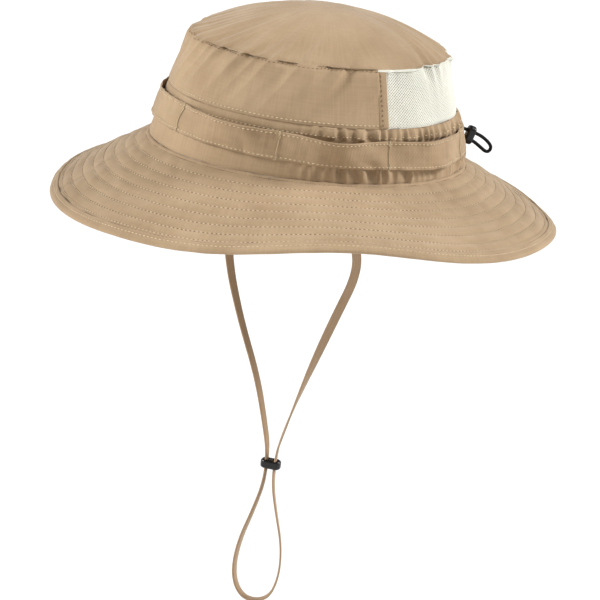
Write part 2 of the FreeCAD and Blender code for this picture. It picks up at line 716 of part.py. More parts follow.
# ---------------------------------------------------------------- write every piece
def main():
    os.makedirs("parts", exist_ok=True)
    angles = band_angles()
    pieces = {
        "crown_tip": make_crown_tip(),
        "crown_side_front": make_side_panel_front(),
        "crown_side_mesh": make_side_panel_mesh(),
        "base_strip_front": make_base_strip_front(),
        "base_strip_rear": make_base_strip_rear(),
        "tip_seam_tape": make_tip_seam_tape(),
        "side_seam_tape_left": make_side_seam_tape(1),
        "side_seam_tape_right": make_side_seam_tape(-1),
        "sweatband": make_sweatband(),
        "care_label": make_care_label(),
        "outer_band": make_outer_band(angles),
        "band_tacks": make_band_tacks(angles),
        "brim_top": make_brim_top(),
        "brim_interlining": make_brim_interlining(),
        "brim_underside": make_brim_underside(),
        "brim_binding": make_brim_binding(),
        "drawcord_channel": make_channel(),
        "drawcord_left": cord_solid("drawcord_left", channel_route(1), CORD_DIAMETER),
        "drawcord_right": cord_solid("drawcord_right", channel_route(-1), CORD_DIAMETER),
        "drawcord_end_tacks": make_cord_end_tacks(),
        "drawcord_loop": make_loop_cord(),
        "drawcord_toggle": make_drawcord_toggle(),
        "strap_end_left": make_strap_end(1),
        "strap_end_right": make_strap_end(-1),
        "chin_strap_left": cord_solid("chin_strap_left", strap_leg(1, LEFT_LEG_ROUTE),
                                      STRAP_DIAMETER),
        "chin_strap_right": cord_solid("chin_strap_right", strap_leg(-1, RIGHT_LEG_ROUTE),
                                       STRAP_DIAMETER),
        "chin_strap_loop": cord_solid("chin_strap_loop", strap_loop(), STRAP_DIAMETER),
        "chin_slider": make_chin_slider(),
    }
    for name, shape in pieces.items():
        print(name, "solids", len(shape.Solids), "valid", shape.isValid(),
              "volume", round(shape.Volume, 1))
        shape.exportStep("parts/" + name + ".step")


main()
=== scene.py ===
import math

import bmesh
import bpy
from mathutils import Matrix, Vector, noise


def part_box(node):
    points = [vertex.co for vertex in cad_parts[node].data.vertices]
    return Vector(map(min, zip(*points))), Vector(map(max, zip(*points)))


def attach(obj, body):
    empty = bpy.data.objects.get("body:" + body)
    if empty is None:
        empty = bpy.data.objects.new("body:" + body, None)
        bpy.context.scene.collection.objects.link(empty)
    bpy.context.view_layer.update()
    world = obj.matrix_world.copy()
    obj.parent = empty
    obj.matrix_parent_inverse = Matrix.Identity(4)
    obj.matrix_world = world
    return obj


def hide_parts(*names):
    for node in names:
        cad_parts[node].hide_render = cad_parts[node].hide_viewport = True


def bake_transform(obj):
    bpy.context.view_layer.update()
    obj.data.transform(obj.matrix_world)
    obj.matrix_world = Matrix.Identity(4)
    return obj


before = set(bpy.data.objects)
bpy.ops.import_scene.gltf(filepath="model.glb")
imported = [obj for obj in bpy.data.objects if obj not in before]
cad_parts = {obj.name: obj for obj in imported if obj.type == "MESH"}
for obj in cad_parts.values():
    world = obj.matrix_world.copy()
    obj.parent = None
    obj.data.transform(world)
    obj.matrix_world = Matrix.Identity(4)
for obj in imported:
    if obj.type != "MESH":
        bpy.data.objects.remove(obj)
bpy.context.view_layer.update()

# Boonie hat. Metres, +Z up, front is -Y, the wearer's left is +X. The origin is the
# middle of the head opening. An angle round the hat runs from the front to the left.
MM = 0.001
UP = Vector((0, 0, 1))
AROUND = 2 * math.pi
SIDES = (("left", 1), ("right", -1))

# ---- sizes of the crown
SEAM_HALF_LENGTH = 103.4 * MM
SEAM_HALF_WIDTH = 83.7 * MM
STRIP_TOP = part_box("crown_side_front")[0][2]
STRIP_LEAN_LENGTH = 8.9 * MM
STRIP_LEAN_WIDTH = 2.3 * MM
PANEL_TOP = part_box("crown_tip")[0][2]
PANEL_LEAN_LENGTH = 11.1 * MM
PANEL_LEAN_WIDTH = 13.1 * MM
TIP_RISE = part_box("crown_tip")[1][2] - PANEL_TOP
TIP_ROUNDNESS = 2.16
TIP_FULLNESS = 1.2
SIDE_SEAM = math.radians(110.5)
CLOTH = 0.45 * MM

# ---- sizes of the brim
BRIM_WIDTH = 75.2 * MM
BRIM_PLY = 0.5 * MM
BRIM_DEPTH = 2.4 * MM             # both plies and the canvas between them
BINDING_START = 67.6 * MM
ROW_FIRST = 2.2 * MM              # first row of stitches, out from the crown seam
ROW_STEP = 8.0 * MM
ROW_COUNT = 8
ROW_LAST = 65.4 * MM              # just inside the binding
BINDING_ROW = 70.6 * MM
QUILT_PUFF = 0.9 * MM
# Slope of the brim below level: waves round the hat, and the degrees of each.
BRIM_DROOP = ((0, 26.2), (1, 4.0), (2, 7.4), (4, -1.8), (6, 1.2))

# ---- sizes of the band and drawcord
BAND_MIDDLE = 20.0 * MM
BAND_TILT = 2.85 * MM
BAND_HEIGHT = 18.6 * MM
BAND_CLOTH = 1.0 * MM
BAND_TACKS = 8
BAND_TACK_GAP = 0.4 * MM
BAND_CRUMPLE = 1.4 * MM
BAND_BULGE_ENDS = 1.2 * MM
BAND_BULGE_SIDES = 5.4 * MM
BAND_LEAN = 0.75
BAND_LEAN_START = math.radians(22)   # where the band's top starts to lean out
BAND_LEAN_END = math.radians(115)
GATHER_START = math.radians(84)
CASING_ROW = 5.6 * MM             # stitches below the top of the base strip
CORD_WIDTH = 2.3 * MM

# ---- sizes of the chin strap
TAPE_WIDTH = 6.2 * MM
TAPE_THICKNESS = 1.7 * MM
STITCH_PITCH = 2.9 * MM


def mix(low, high, share):
    return low + (high - low) * share


def smooth(edge_low, edge_high, value):
    """0 below one edge, 1 above the other, and a soft rise between."""
    share = min(max((value - edge_low) / (edge_high - edge_low), 0.0), 1.0)
    return share * share * (3 - 2 * share)


# ---- camera
CAMERA_AZIMUTH = math.radians(77.3)
CAMERA_ELEVATION = math.radians(18.2)
CAMERA_ROLL = math.radians(7.36)
CAMERA_DISTANCE = 1.804
CAMERA_SIDEWAYS = -4.48 * MM
CAMERA_UPWARDS = -99.9 * MM
CAMERA_VIEW_WIDTH = 389.8 * MM    # across the picture at the origin
SENSOR_WIDTH = 36


def make_camera():
    sin_a, cos_a = math.sin(CAMERA_AZIMUTH), math.cos(CAMERA_AZIMUTH)
    sin_e, cos_e = math.sin(CAMERA_ELEVATION), math.cos(CAMERA_ELEVATION)
    back = Vector((sin_a * cos_e, -cos_a * cos_e, sin_e))
    level = Vector((cos_a, sin_a, 0))
    rise = Vector((-sin_a * sin_e, cos_a * sin_e, cos_e))
    right = level * math.cos(CAMERA_ROLL) + rise * math.sin(CAMERA_ROLL)
    up = rise * math.cos(CAMERA_ROLL) - level * math.sin(CAMERA_ROLL)
    data = bpy.data.cameras.new("camera")
    data.sensor_width = SENSOR_WIDTH
    data.lens = SENSOR_WIDTH * CAMERA_DISTANCE / CAMERA_VIEW_WIDTH
    data.clip_end = 100
    camera = bpy.data.objects.new("camera", data)
    turn = Matrix((right, up, back)).transposed().to_4x4()
    place = back * CAMERA_DISTANCE + right * CAMERA_SIDEWAYS + up * CAMERA_UPWARDS
    camera.matrix_world = Matrix.Translation(place) @ turn
    bpy.context.scene.collection.objects.link(camera)
    bpy.context.scene.camera = camera


make_camera()


# ---- shape of the hat
def crown_half_axes(z):
    strip_length = SEAM_HALF_LENGTH - STRIP_LEAN_LENGTH
    strip_width = SEAM_HALF_WIDTH - STRIP_LEAN_WIDTH
    if z <= STRIP_TOP:
        share = z / STRIP_TOP
        return (mix(SEAM_HALF_LENGTH, strip_length, share), mix(SEAM_HALF_WIDTH, strip_width, share))
    share = (z - STRIP_TOP) / (PANEL_TOP - STRIP_TOP)
    return (strip_length - PANEL_LEAN_LENGTH * share, strip_width - PANEL_LEAN_WIDTH * share)


def oval_normal(angle, half_length, half_width):
    return Vector((math.sin(angle) / half_width, -math.cos(angle) / half_length, 0)).normalized()


def wall(angle, z, out=0.0):
    """Point of the crown wall at an angle and height, moved outwards."""
    half_length, half_width = crown_half_axes(z)
    base = Vector((half_width * math.sin(angle), -half_length * math.cos(angle), z))
    return base + oval_normal(angle, half_length, half_width) * out


def wall_normal(angle, z):
    return oval_normal(angle, *crown_half_axes(z))


def tip_point(angle, share):
    """Point of the puffed tip, share 0 at its seam and 1 at its middle."""
    half_length, half_width = crown_half_axes(PANEL_TOP)
    reach = math.cos(math.pi / 2 * share)
    height = TIP_RISE * (1 - reach ** TIP_ROUNDNESS) ** TIP_FULLNESS
    return Vector((half_width * reach * math.sin(angle),
                   -half_length * reach * math.cos(angle), PANEL_TOP + height))


def brim_droop(angle):
    return math.radians(sum(size * math.cos(waves * angle) for waves, size in BRIM_DROOP))


def brim_normal(angle):
    outward = oval_normal(angle, SEAM_HALF_LENGTH, SEAM_HALF_WIDTH)
    droop = brim_droop(angle)
    return outward * math.sin(droop) + UP * math.cos(droop)


def brim(angle, out, above=0.0):
    """Point of the brim, out from the seam down its slope and above its top ply."""
    outward = oval_normal(angle, SEAM_HALF_LENGTH, SEAM_HALF_WIDTH)
    droop = brim_droop(angle)
    slope = outward * math.cos(droop) - UP * math.sin(droop)
    return wall(angle, 0) + slope * out + brim_normal(angle) * above


def even_parameters(point, start, end, count, samples=720):
    """Values from start to end whose points lie at even steps along the line."""
    lengths = [0.0]
    before = point(start)
    for index in range(samples):
        after = point(mix(start, end, (index + 1) / samples))
        lengths.append(lengths[-1] + (after - before).length)
        before = after
    values = []
    index = 0
    for number in range(count):
        target = lengths[-1] * (number + 0.5) / count
        while lengths[index + 1] < target:
            index += 1
        part = (target - lengths[index]) / (lengths[index + 1] - lengths[index])
        values.append(mix(start, end, (index + part) / samples))
    return values, lengths[-1]


BAND_STEPS = 960
BAND_ANGLES = even_parameters(lambda angle: wall(angle, BAND_MIDDLE), 0, AROUND, BAND_STEPS)[0]


NOISE_RANGE = 1.6                 # brings the noise to about -1 to 1


def ring_noise(angle, wavelength, seed, z=0.0):
    """Smooth noise round the hat that meets itself, from -1 to 1."""
    reach = SEAM_HALF_WIDTH / wavelength
    place = Vector((math.sin(angle) * reach, math.cos(angle) * reach, seed + z))
    return noise.noise(place) * NOISE_RANGE


# ---- materials
def srgb(red, green, blue):
    def linear(value):
        value = value / 255
        return value / 12.92 if value <= 0.04045 else ((value + 0.055) / 1.055) ** 2.4
    return (linear(red), linear(green), linear(blue), 1.0)


def add_node(tree, kind, inputs=None, **settings):
    node = tree.nodes.new(kind)
    for key, value in settings.items():
        setattr(node, key, value)
    for key, value in (inputs or {}).items():
        if isinstance(value, bpy.types.NodeSocket):
            tree.links.new(value, node.inputs[key])
        else:
            node.inputs[key].default_value = value
    return node


def calculate(tree, operation, first, second=0.0, third=0.0):
    node = add_node(tree, "ShaderNodeMath", {0: first, 1: second, 2: third}, operation=operation)
    return node.outputs[0]


def start_material(name, roughness, specular, sheen=0.0, coat=0.0):
    material = bpy.data.materials.new(name)
    material.use_nodes = True
    tree = material.node_tree
    shader = tree.nodes["Principled BSDF"]
    shader.inputs["Roughness"].default_value = roughness
    shader.inputs["Specular IOR Level"].default_value = specular
    shader.inputs["Sheen Weight"].default_value = sheen
    shader.inputs["Sheen Roughness"].default_value = 0.4
    shader.inputs["Coat Weight"].default_value = coat
    return material, tree, shader


def grain(tree, coordinates, scale, detail=3.0):
    """Noise from 0 to 1 over coordinates stretched by a scale along each axis."""
    placed = add_node(tree, "ShaderNodeMapping", {"Vector": coordinates, "Scale": scale})
    found = add_node(tree, "ShaderNodeTexNoise",
                     {"Vector": placed.outputs[0], "Scale": 1.0, "Detail": detail})
    return found.outputs["Fac"]


def finish_shades(tree, shader, dark, light, shade, height, depth, strength=0.6):
    """Colour between two shades, and bump of a depth in metres."""
    ramp = add_node(tree, "ShaderNodeMix", {"Factor": shade, "A": dark, "B": light}, data_type="RGBA")
    tree.links.new(ramp.outputs["Result"], shader.inputs["Base Color"])
    bump = add_node(tree, "ShaderNodeBump",
                    {"Height": height, "Distance": depth, "Strength": strength})
    tree.links.new(bump.outputs["Normal"], shader.inputs["Normal"])


BLOTCH_SCALE = (28, 28, 28)       # waves in a metre
BLOTCH_SHARE = 0.55               # of the shade; the threads make up the rest
WEAVE_SHADE = 0.16
WEAVE_RELIEF = 0.35
SHADE_LOW, SHADE_HIGH = 0.36, 0.64


def woven(name, dark, light, pitch, slub=(0.0011, 0.024), depth=0.00012, roughness=0.86,
          sheen=0.22, strength=0.6):
    """Plain weave on the cloth's own UV map, in metres, with slubs and soft blotches."""
    material, tree, shader = start_material(name, roughness, 0.22, sheen)
    uv = add_node(tree, "ShaderNodeTexCoord").outputs["UV"]
    place = add_node(tree, "ShaderNodeTexCoord").outputs["Object"]
    axes = add_node(tree, "ShaderNodeSeparateXYZ", {0: uv})
    turns = AROUND / pitch
    warp = calculate(tree, "SINE", calculate(tree, "MULTIPLY", axes.outputs[0], turns))
    weft = calculate(tree, "SINE", calculate(tree, "MULTIPLY", axes.outputs[1], turns))
    weave = calculate(tree, "MULTIPLY", warp, weft)
    across = grain(tree, uv, (1 / slub[0], 1 / slub[1], 1))
    along = grain(tree, uv, (1 / slub[1], 1 / slub[0], 1))
    blotch = grain(tree, place, BLOTCH_SCALE, 4.0)
    slubs = calculate(tree, "ADD", calculate(tree, "MULTIPLY", across, 0.6),
                      calculate(tree, "MULTIPLY", along, 0.4))
    threads = calculate(tree, "MULTIPLY_ADD", weave, WEAVE_SHADE, slubs)
    shade = calculate(tree, "MULTIPLY_ADD", blotch, BLOTCH_SHARE,
                      calculate(tree, "MULTIPLY", threads, 1 - BLOTCH_SHARE))
    spread = add_node(tree, "ShaderNodeMapRange",
                      {"Value": shade, "From Min": SHADE_LOW, "From Max": SHADE_HIGH})
    relief = calculate(tree, "MULTIPLY_ADD", weave, WEAVE_RELIEF, slubs)
    finish_shades(tree, shader, dark, light, spread.outputs[0], relief, depth, strength)
    return material


def thread_material(name, dark, light):
    material, tree, shader = start_material(name, 0.6, 0.35, 0.3)
    place = add_node(tree, "ShaderNodeTexCoord").outputs["Object"]
    fibres = grain(tree, place, (2600, 2600, 2600))
    shade = grain(tree, place, (160, 160, 160))
    finish_shades(tree, shader, dark, light, shade, fibres, 0.00008)
    return material


BRAID_STRANDS = 6


def braided(name, dark, light, pitch):
    """Braid on a cord's own UV map: along it, and round it in turns of 1."""
    material, tree, shader = start_material(name, 0.7, 0.2, 0.0)
    uv = add_node(tree, "ShaderNodeTexCoord").outputs["UV"]
    axes = add_node(tree, "ShaderNodeSeparateXYZ", {0: uv})
    along = calculate(tree, "MULTIPLY", axes.outputs[0], AROUND / pitch)
    around = calculate(tree, "MULTIPLY", axes.outputs[1], AROUND * BRAID_STRANDS)
    left = calculate(tree, "SINE", calculate(tree, "ADD", along, around))
    right = calculate(tree, "SINE", calculate(tree, "SUBTRACT", along, around))
    plait = calculate(tree, "MAXIMUM", left, right)
    height = calculate(tree, "MULTIPLY_ADD", plait, 0.5, 0.5)
    finish_shades(tree, shader, dark, light, height, height, 0.0002)
    return material


RIB_PITCH = 0.9 * MM


def ribbed_tape(name, dark, light):
    """Folded cloth tape: fine ribs across, and slubs along, on its own UV map."""
    material, tree, shader = start_material(name, 0.8, 0.25, 0.25)
    uv = add_node(tree, "ShaderNodeTexCoord").outputs["UV"]
    axes = add_node(tree, "ShaderNodeSeparateXYZ", {0: uv})
    ribs = calculate(tree, "SINE", calculate(tree, "MULTIPLY", axes.outputs[0], AROUND / RIB_PITCH))
    streak = grain(tree, uv, (60, 900, 1))
    patch = grain(tree, uv, (90, 40, 1))
    height = calculate(tree, "MULTIPLY_ADD", ribs, 0.25, streak)
    shade = calculate(tree, "MULTIPLY_ADD", streak, 0.6, calculate(tree, "MULTIPLY", patch, 0.4))
    spread = add_node(tree, "ShaderNodeMapRange",
                      {"Value": shade, "From Min": 0.35, "From Max": 0.65})
    finish_shades(tree, shader, dark, light, spread.outputs[0], height, 0.00015)
    return material


def moulded(name, dark, light):
    """Glossy moulded plastic with faint scuffs."""
    material, tree, shader = start_material(name, 0.3, 0.35, 0.0, 0.1)
    place = add_node(tree, "ShaderNodeTexCoord").outputs["Object"]
    flow = grain(tree, place, (240, 240, 240))
    scuffs = grain(tree, place, (900, 250, 900), 5.0)
    rough = add_node(tree, "ShaderNodeMapRange",
                     {"Value": scuffs, "From Min": 0.4, "From Max": 0.75, "To Min": 0.2, "To Max": 0.42})
    tree.links.new(rough.outputs[0], shader.inputs["Roughness"])
    finish_shades(tree, shader, dark, light, flow, scuffs, 0.00006, 0.25)
    return material


TAN_DARK = srgb(159, 134, 104)
TAN_LIGHT = srgb(179, 154, 123)
tan_cloth = woven("tan_ripstop", TAN_DARK, TAN_LIGHT, 0.0008)
tan_brim = woven("tan_brim_cloth", TAN_DARK, TAN_LIGHT, 0.0008, slub=(0.0016, 0.012), depth=0.00006)
tan_band = woven("tan_band_cloth", srgb(152, 127, 98), srgb(176, 151, 120), 0.0011, depth=0.0002)
cream_net = woven("cream_mesh", srgb(214, 213, 200), srgb(232, 231, 219), 0.0015, depth=0.0001)
lining = woven("sweatband_cloth", srgb(176, 152, 118), srgb(193, 169, 134), 0.0007)
binding_tape = woven("seam_tape", srgb(182, 156, 120), srgb(200, 174, 138), 0.0006)
label_satin = woven("label_cloth", srgb(232, 230, 220), srgb(242, 241, 234), 0.0004, roughness=0.5)
canvas = woven("interlining", srgb(214, 208, 190), srgb(226, 221, 205), 0.001)
light_thread = thread_material("tan_thread", srgb(206, 184, 148), srgb(232, 214, 180))
# Brown thread darkened further with painted shade. It stands for both the thread and the shadow along
# the seams it sews.
brown_thread_and_shade = thread_material("brown_thread_and_shade", srgb(104, 78, 52), srgb(138, 108, 76))
# Painted shade: dark brown grains that stand in for the shadow in the needle holes and along the
# binding's groove.
needle_shade = thread_material("needle_shade", srgb(98, 76, 54), srgb(120, 96, 70))
tack_thread = thread_material("tack_thread", srgb(168, 148, 112), srgb(206, 190, 154))
strap_tape = ribbed_tape("tan_webbing", srgb(142, 116, 90), srgb(172, 146, 116))
black_elastic = braided("black_elastic", srgb(6, 6, 7), srgb(24, 24, 25), 0.0022)
black_bead = moulded("black_plastic", srgb(5, 5, 6), srgb(13, 13, 14))


# ---- making pieces
def add_piece(name, bm, material, body="hat", replaces=()):
    """A finished piece from a bmesh, riding on a body."""
    mesh = bpy.data.meshes.new(name)
    bm.to_mesh(mesh)
    bm.free()
    mesh.polygons.foreach_set("use_smooth", [True] * len(mesh.polygons))
    mesh.materials.append(material)
    piece = bpy.data.objects.new(name, mesh)
    bpy.context.scene.collection.objects.link(piece)
    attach(piece, body)
    if replaces:
        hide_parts(*replaces)
    return piece


def cloth_bmesh(columns, rows, place, cut, relief=None):
    """A grid of cloth. place(u, v) puts its points, relief(u, v) lifts them along their
    normals, and its UV map is in metres over the flat cut. Edges that meet are joined."""
    bm = bmesh.new()
    bmesh.ops.create_grid(bm, x_segments=columns, y_segments=rows, size=0.5)
    uv_layer = bm.loops.layers.uv.new("Cloth")
    shares = {}
    for vertex in bm.verts:
        shares[vertex] = (vertex.co.x + 0.5, vertex.co.y + 0.5)
    for face in bm.faces:
        for loop in face.loops:
            u, v = shares[loop.vert]
            loop[uv_layer].uv = (u * cut[0], v * cut[1])
    for vertex, (u, v) in shares.items():
        vertex.co = place(u, v)
    bm.normal_update()
    if relief:
        lifted = [(vertex, vertex.normal * relief(u, v)) for vertex, (u, v) in shares.items()]
        for vertex, lift in lifted:
            vertex.co += lift
    bmesh.ops.remove_doubles(bm, verts=bm.verts, dist=1e-6)
    return bm


def thicken(piece, thickness):
    solid = piece.modifiers.new("thickness", "SOLIDIFY")
    solid.thickness = thickness
    solid.offset = -1


def soften(piece, levels=1):
    surface = piece.modifiers.new("roundness", "SUBSURF")
    surface.levels = levels
    surface.render_levels = levels


def cloth(name, columns, rows, place, cut, material, thickness, relief=None, replaces=()):
    piece = add_piece(name, cloth_bmesh(columns, rows, place, cut, relief), material,
                      replaces=replaces)
    if thickness:
        thicken(piece, thickness)
    return piece


def merge(bm, part):
    """Adds a part to a bmesh, and frees the part."""
    mesh = bpy.data.meshes.new("part")
    part.to_mesh(mesh)
    part.free()
    bm.from_mesh(mesh)
    bpy.data.meshes.remove(mesh)


def stitch_row(bm, point, normal, start, end, pitch=STITCH_PITCH, length=1.9 * MM, width=0.6 * MM,
               lift=0.12 * MM, shift=0.0):
    """Stitches along a line, each a small grain that lies on the cloth."""
    total = even_parameters(point, start, end, 2, 360)[1]
    count = max(int(total / pitch), 2)
    row = bmesh.new()
    gap = shift * (end - start) / count
    for middle in even_parameters(point, start, end, count, 720)[0]:
        value = middle + gap
        step = (end - start) * 1e-4
        ahead = (point(value + step) - point(value - step)).normalized()
        up = normal(value).normalized()
        side = up.cross(ahead).normalized()
        turn = Matrix((ahead * length / 2, side * width / 2, up * width / 2)).transposed().to_4x4()
        turn.translation = point(value) + up * lift
        bmesh.ops.create_icosphere(row, subdivisions=1, radius=1, matrix=turn)
    merge(bm, row)


def smooth_path(route, steps=10):
    """Points read along the smooth line of a route."""
    data = bpy.data.curves.new("route", "CURVE")
    data.dimensions = "3D"
    spline = data.splines.new("NURBS")
    spline.points.add(len(route) - 1)
    for point, place in zip(spline.points, route):
        point.co = (*place, 1)
    spline.order_u = 3
    spline.use_endpoint_u = True
    spline.resolution_u = steps
    holder = bpy.data.objects.new("route", data)
    mesh = bpy.data.meshes.new_from_object(holder)
    points = [vertex.co.copy() for vertex in mesh.vertices]
    bpy.data.objects.remove(holder)
    bpy.data.meshes.remove(mesh)
    bpy.data.curves.remove(data)
    return points


def line_length(points):
    return sum((after - before).length for before, after in zip(points, points[1:]))


def share_length(place, steps):
    """Length of a line whose points are placed by a share from 0 to 1."""
    return line_length([place(index / steps) for index in range(steps + 1)])


def swept(points, section, flat_way, sides):
    """A closed tube along points. section(side share, length share) gives the offsets
    across and through, and flat_way(length share) the direction of its width."""
    total = line_length(points)
    shares = [0.0]
    for before, after in zip(points, points[1:]):
        shares.append(shares[-1] + (after - before).length / total)

    def place(u, v):
        index = round(u * (len(points) - 1))
        before = points[max(index - 1, 0)]
        after = points[min(index + 1, len(points) - 1)]
        ahead = (after - before).normalized()
        through = ahead.cross(flat_way(shares[index])).normalized()
        across = through.cross(ahead).normalized()
        wide, thick = section(v, shares[index])
        return points[index] + across * wide + through * thick

    bm = cloth_bmesh(len(points) - 1, sides, place, (total, 1.0))
    rims = [edge for edge in bm.edges if edge.is_boundary]
    bmesh.ops.holes_fill(bm, edges=rims, sides=0)
    bmesh.ops.recalc_face_normals(bm, faces=bm.faces)
    return bm


# ---- cords
LOOP_ROUTE = [(0, 103.33, 19.50), (0, 111.32, 17.19), (0, 118.3, 13.7), (0, 123.9, 8.3),
              (0, 121.0, 3.9), (0, 114.8, 8.6), (0, 109.29, 12.2), (0, 101.90, 14.50)]
LEFT_LEG_ROUTE = [(81.93, 0, -3), (81.93, 0, -13), (79.5, 10.5, -26), (73, 24, -42),
                  (63.5, 29, -65), (52, 22, -97), (38, 14, -137), (23, 8, -175),
                  (10.5, 6, -199), (1.27, 5.72, -213.75), (1.27, 5.72, -226.25)]
RIGHT_LEG_ROUTE = [(-81.93, 0, -3), (-81.93, 0, -13), (-80, -11, -26), (-74, -25.5, -43),
                   (-65, -33.5, -66), (-53, -32.5, -97), (-39, -22.5, -133), (-24, -8.5, -170),
                   (-11, -2, -199), (-1.27, 0.28, -213.75), (-1.27, 0.28, -226.25)]
STRAP_LOOP_ROUTE = [(3, -226.25), (3, -236.75), (7.6, -256), (14.8, -281), (15.6, -304),
                    (10, -321.5), (-6.5, -325.5), (-16.5, -311), (-15.8, -286), (-7.5, -257),
                    (-3, -236.75), (-3, -226.25)]
SLIDER_TURN = math.radians(65)
SLIDER_Y = 3.0
STRAP_SIDE = 81.93                # of the strap's ends, from the middle of the hat


def in_metres(route):
    return [tuple(value * MM for value in place) for place in route]


def strap_loop_places():
    """The hanging loop lies in the twisted plane of the slider."""
    return [(math.cos(SLIDER_TURN) * across, SLIDER_Y + math.sin(SLIDER_TURN) * across, z)
            for across, z in STRAP_LOOP_ROUTE]


def circle(radius):
    """Section of a round cord or thread."""
    def section(v, share):
        return radius * math.cos(AROUND * v), radius * math.sin(AROUND * v)
    return section


def tape_section(v, share):
    """Folded tape: flat, with soft edges and a faint crown."""
    cosine, sine = math.cos(AROUND * v), math.sin(AROUND * v)
    wide = math.copysign(abs(cosine) ** 0.6, cosine) * TAPE_WIDTH / 2
    thick = math.copysign(abs(sine) ** 0.6, sine) * TAPE_THICKNESS / 2
    return wide, thick * (0.8 + 0.2 * abs(cosine))


def leg_way(lean):
    """The tape's width turns from along the brim seam to across the slider's holes."""
    def way(share):
        turn = mix(math.pi / 2, math.pi / 2 + SLIDER_TURN, smooth(0.3, 0.9, share))
        turn += 0.22 * lean * math.sin(3 * math.pi * share)
        return Vector((math.cos(turn), math.sin(turn), 0))
    return way


def loop_way(share):
    turn = math.pi / 2 + SLIDER_TURN + 0.25 * math.sin(AROUND * share)
    return Vector((math.cos(turn), math.sin(turn), 0))


def make_cords():
    points = smooth_path(in_metres(LOOP_ROUTE), 16)
    bm = swept(points, circle(CORD_WIDTH / 2), lambda share: Vector((1, 0, 0)), 12)
    loop = add_piece("elastic_loop", bm, black_elastic, "drawcord_loop", replaces=("drawcord_loop",))
    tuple(points[0])
    line_length(points)

    legs = (("strap_leg_left", LEFT_LEG_ROUTE, "chin_strap_left", 1),
            ("strap_leg_right", RIGHT_LEG_ROUTE, "chin_strap_right", -1))
    for name, route, node, lean in legs:
        points = smooth_path(in_metres(route), 14)
        bm = swept(points, tape_section, leg_way(lean), 16)
        leg = add_piece(name, bm, strap_tape, "chin_strap", (node,))
        leg.parent = None
        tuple(points[0])
        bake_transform(leg)
        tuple(points[0])
        line_length(points)

    points = smooth_path(in_metres(strap_loop_places()), 14)
    bm = swept(points, tape_section, loop_way, 16)
    loop = add_piece("strap_loop", bm, strap_tape, "chin_strap", ("chin_strap_loop",))
    loop.parent = None
    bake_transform(loop)
    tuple(points[0])
    line_length(points)


def make_strap_ends():
    """The flat ends of the strap, caught in the seam inside the sweatband."""
    for name, side in SIDES:
        points = [Vector((side * STRAP_SIDE * MM, 0, z * MM)) for z in (7.8, 5, 2, -1, -3.2)]
        bm = swept(points, tape_section, lambda share: Vector((0, 1, 0)), 16)
        add_piece("strap_end_tape_" + name, bm, strap_tape,
                  replaces=("strap_end_" + name,))


make_cords()
make_strap_ends()


# ---- creases of the cloth
# A wave is a length round the crown, a reach a length down from the seam.
FOLD_HEIGHT, FOLD_WAVE, FOLD_REACH = 4.4 * MM, 19 * MM, 22 * MM
CREASE_HEIGHT, CREASE_WAVE, CREASE_REACH = 3.9 * MM, 12 * MM, 14 * MM
PUCKER_HEIGHT, PUCKER_WAVE, PUCKER_REACH = 1.0 * MM, 6.5 * MM, 5 * MM
DRIFT_HEIGHT, DRIFT_WAVE = 1.2 * MM, 55 * MM
SEAM_DEPTH, SEAM_REACH = 1.1 * MM, 2.2 * MM
PLEAT_HEIGHT, PLEAT_WAVE = 1.7 * MM, 6.0 * MM
RIPPLE_HEIGHT, RIPPLE_WAVE = 0.9 * MM, 3.0 * MM
LOOSE_HEIGHT, LOOSE_WAVE = 0.6 * MM, 26 * MM


def shell_fold(angle, depth):
    """How far the crown cloth stands out, a way below the tip seam (or above it, negative)."""
    distance = abs(depth)
    slanted = angle + 5 * depth
    broad = (0.35 + ring_noise(slanted, FOLD_WAVE, 3.1)) * FOLD_HEIGHT * math.exp(-distance / FOLD_REACH)
    sharp = abs(ring_noise(slanted + 3 * depth, CREASE_WAVE, 5.3)) * CREASE_HEIGHT
    sharp *= math.exp(-distance / CREASE_REACH)
    pucker = ring_noise(angle, PUCKER_WAVE, 8.7) * PUCKER_HEIGHT * math.exp(-distance / PUCKER_REACH)
    crease = -SEAM_DEPTH * math.exp(-(distance / SEAM_REACH) ** 2)
    drift = ring_noise(angle, DRIFT_WAVE, 1.3, distance * 12) * DRIFT_HEIGHT
    return broad - sharp + pucker + crease + drift * smooth(0, 12 * MM, distance)


def seam_pinch(z, seam, reach=1.6 * MM):
    return math.exp(-((z - seam) / reach) ** 2)


def panel_relief(angle, z):
    foot = 0.7 * MM * seam_pinch(z, STRIP_TOP)
    return shell_fold(angle, PANEL_TOP - z) * smooth(0, 10 * MM, z - STRIP_TOP + 3 * MM) - foot


def from_front(angle):
    return abs((angle + math.pi) % AROUND - math.pi)


def gather_share(angle):
    """How strongly the drawcord gathers the cloth: none at the front, full at the rear."""
    return smooth(GATHER_START - 0.25, GATHER_START + 0.2, from_front(angle))


def strip_relief(angle, z):
    """Base strip: soft puckers in front, gathered pleats behind."""
    pleat = 1.0 - 2.2 * abs(ring_noise(angle + 0.9 * z, PLEAT_WAVE, 4.4, z * 9))
    fine = ring_noise(angle, RIPPLE_WAVE, 6.6, z * 20)
    height = smooth(0, 8 * MM, z) * (1 - 0.75 * smooth(STRIP_TOP - 7 * MM, STRIP_TOP, z))
    gathered = gather_share(angle) * (pleat * PLEAT_HEIGHT + fine * RIPPLE_HEIGHT) * (0.35 + height)
    loose = ring_noise(angle, LOOSE_WAVE, 2.2, z * 22) * LOOSE_HEIGHT
    middle = BAND_MIDDLE + BAND_TILT * math.cos(angle)
    under_band = 1 - smooth(BAND_HEIGHT / 2 - 2 * MM, BAND_HEIGHT / 2 + 0.5 * MM, abs(z - middle))
    relief = (gathered + loose) * (1 - under_band) - 0.4 * MM * under_band
    return relief - 0.8 * MM * seam_pinch(z, STRIP_TOP) - 0.6 * MM * seam_pinch(z, 0)


